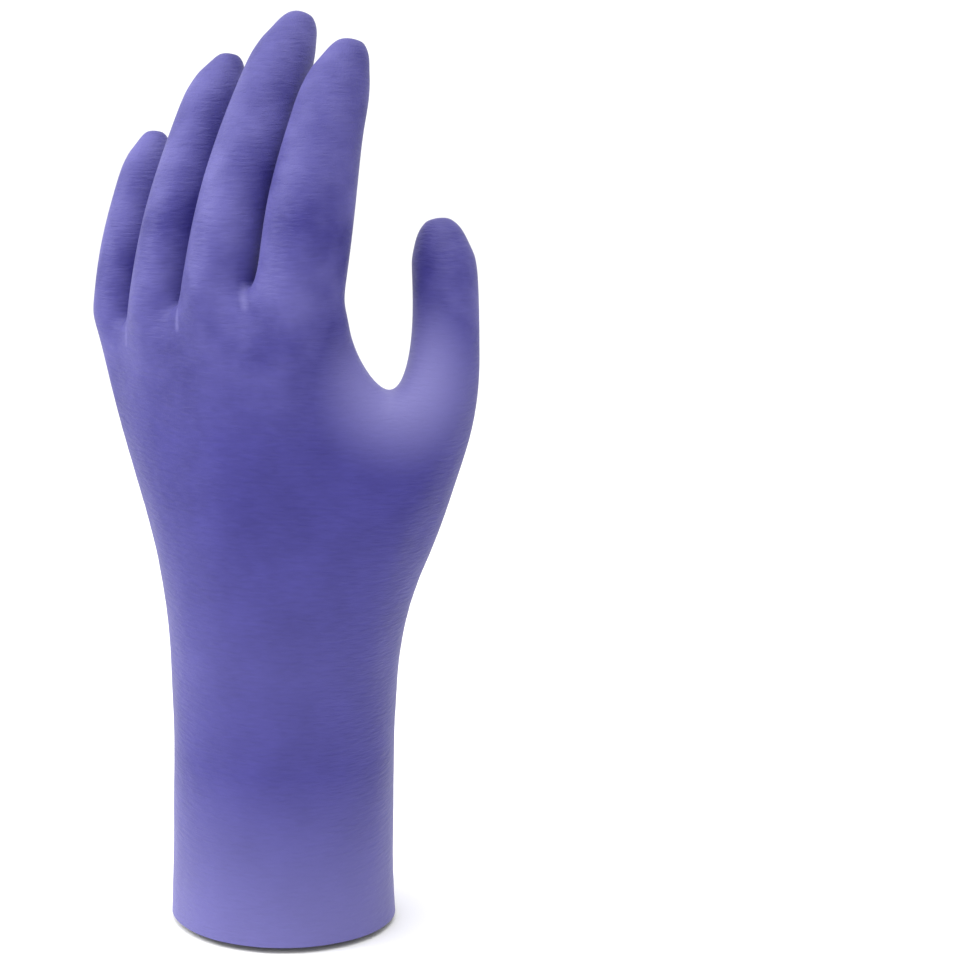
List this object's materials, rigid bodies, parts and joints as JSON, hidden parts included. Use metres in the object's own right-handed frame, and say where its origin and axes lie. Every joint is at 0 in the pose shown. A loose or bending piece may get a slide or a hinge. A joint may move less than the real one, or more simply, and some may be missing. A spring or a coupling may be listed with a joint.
{
  "type": "nitrile exam glove",
  "caption": "Left-hand long-cuff exam glove in one dipped skin, open at a plain cuff and kept in the form of a relaxed hand with curled fingers.",
  "frame": {"origin": "middle of the cuff's open mouth, where the hand goes in", "axes": "+Z from the cuff's edge to the fingertips, +X to the thumb, -Y out of the back of the hand"},
  "size_m": [0.1358, 0.0732, 0.2999],
  "materials": {
    "nitrile": "matte dipped nitrile rubber, violet-blue all through, with a fine grain on the fingertips"
  },
  "bodies": {
    "root": {"glove": "nitrile"}
  },
  "joints": []
}
